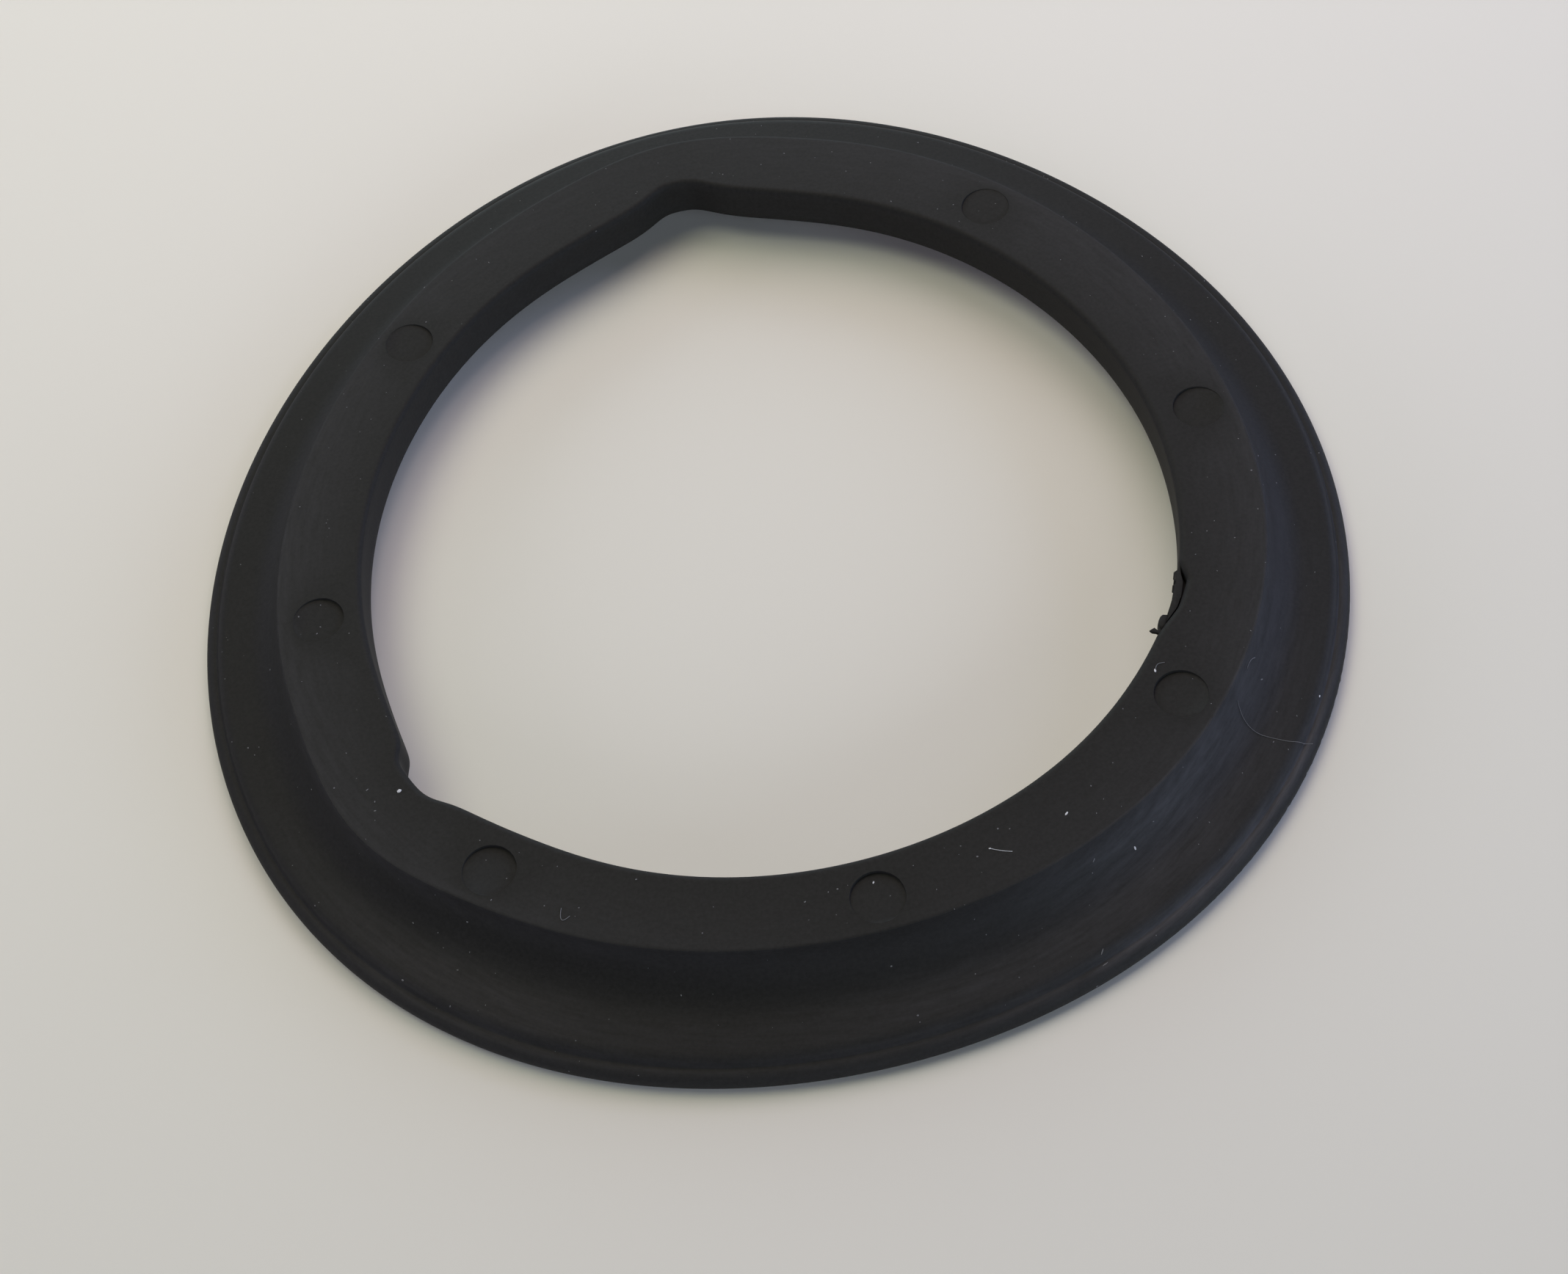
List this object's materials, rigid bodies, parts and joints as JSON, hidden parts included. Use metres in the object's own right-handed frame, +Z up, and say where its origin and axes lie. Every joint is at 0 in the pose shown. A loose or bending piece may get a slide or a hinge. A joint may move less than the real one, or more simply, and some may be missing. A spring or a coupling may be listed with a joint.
{
  "type": "lip seal",
  "caption": "Moulded rubber lip seal: a flat flange round a slightly lobed opening, and a thin lip that curves down and outwards to a beaded rim.",
  "frame": {"origin": "on the ring's axis, in the plane that the rim rests on", "axes": "+Z up along the ring's axis, from the resting rim to the flange's top; +Y through the first notched corner of the opening"},
  "size_m": [0.08, 0.08, 0.0053],
  "materials": {
    "black_rubber": "matte moulded, faintly dusty"
  },
  "bodies": {
    "root": {"seal_ring": "black_rubber"}
  },
  "joints": []
}
